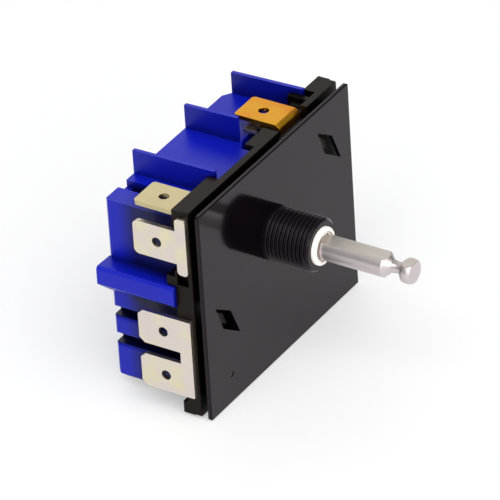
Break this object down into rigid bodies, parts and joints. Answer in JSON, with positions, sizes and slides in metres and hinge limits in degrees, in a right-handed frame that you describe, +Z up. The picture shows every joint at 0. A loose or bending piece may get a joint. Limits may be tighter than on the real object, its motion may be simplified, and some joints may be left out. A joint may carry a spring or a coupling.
{
  "type": "cooktop element control switch",
  "caption": "Infinite control switch for a cooktop element: black mounting plate with threaded bushing and D-shaft, finned blue housing, quick-connect tabs, cam and thermal arm inside.",
  "frame": {"origin": "the shaft's axis at the front plate's front face", "axes": "the shaft points to -Y, +X is right seen from the knob's side, +Z is up"},
  "size_m": [0.0482, 0.0466, 0.041],
  "materials": {
    "plate_black": "semi-gloss moulded black with a faint grain",
    "frame_black": "moulded brownish black",
    "housing_blue": "moulded royal blue, satin",
    "sleeve_ivory": "moulded ivory",
    "shaft_zinc": "die-cast grey zinc alloy",
    "tab_tin": "stamped and plated strip",
    "tab_brass": "stamped plain brass strip",
    "spring_steel": "bright spring steel",
    "blade_copper": "rolled copper alloy strip",
    "rivet_brass": "plain brass",
    "contact_silver": "silver alloy",
    "bimetal": "rolled bimetal strip",
    "ceramic": "white ceramic"
  },
  "bodies": {
    "housing": {"front_plate": "plate_black", "base_frame": "frame_black", "terminal_housing": "housing_blue", "terminal_top_left": "tab_tin", "terminal_top_right": "tab_brass", "link_strip": "tab_tin", "terminal_upper_left": "tab_tin", "terminal_lower_left": "tab_tin", "line_blade_rivet": "rivet_brass", "line_fixed_contact": "contact_silver", "snap_blade_rivet": "rivet_brass", "cycling_fixed_contact": "contact_silver", "lever_pin": "spring_steel"},
    "cam": {"cam_sleeve": "sleeve_ivory", "sleeve_end_plug": "sleeve_ivory", "push_spring": "spring_steel"},
    "shaft": {"drive_shaft": "shaft_zinc", "shaft_clip": "spring_steel"},
    "lever": {"control_lever": "sleeve_ivory", "calibration_screw": "rivet_brass"},
    "thermal_arm": {"bimetal_strip": "bimetal", "heater_sleeve": "ceramic", "push_pin": "ceramic"},
    "line_arm": {"line_blade": "blade_copper", "blade_button": "sleeve_ivory", "line_moving_contact": "contact_silver"},
    "snap_arm": {"snap_blade": "blade_copper", "cycling_moving_contact": "contact_silver"}
  },
  "joints": [
    {"name": "cam_turn", "type": "hinge", "parent": "housing", "child": "cam", "pos_m": [0, 0, 0], "axis": [0, 1, 0], "range_deg": [0, 280]},
    {"name": "shaft_push", "type": "slide", "parent": "cam", "child": "shaft", "axis": [0, 1, 0], "range_m": [0, 0.0016], "stiffness_N_per_m": 800, "springref_m": -0.003, "deforming": ["push_spring"]},
    {"name": "lever_swing", "type": "hinge", "parent": "housing", "child": "lever", "pos_m": [0.013, 0.01, -0.0095], "axis": [0, -1, 0], "range_deg": [0, 12.9]},
    {"name": "bimetal_warp", "type": "hinge", "parent": "lever", "child": "thermal_arm", "pos_m": [0.009, 0.0116, -0.00995], "axis": [0, 1, 0], "range_deg": [0, 3], "stiffness_Nm_per_rad": 0.05},
    {"name": "contact_snap", "type": "hinge", "parent": "housing", "child": "snap_arm", "pos_m": [0.0123, 0.0116, -0.0056], "axis": [0, 1, 0], "range_deg": [0, 2.6]},
    {"name": "line_contact", "type": "hinge", "parent": "housing", "child": "line_arm", "pos_m": [-0.01075, 0.0055, -0.006], "axis": [0, -1, 0], "range_deg": [0, 4.7], "stiffness_Nm_per_rad": 0.07, "springref_deg": -2.86}
  ],
  "couplings": [
    {"joint": "lever_swing", "follows": "cam_turn", "ratio": 0.046},
    {"joint": "contact_snap", "follows": "bimetal_warp", "ratio": 0.845}
  ]
}
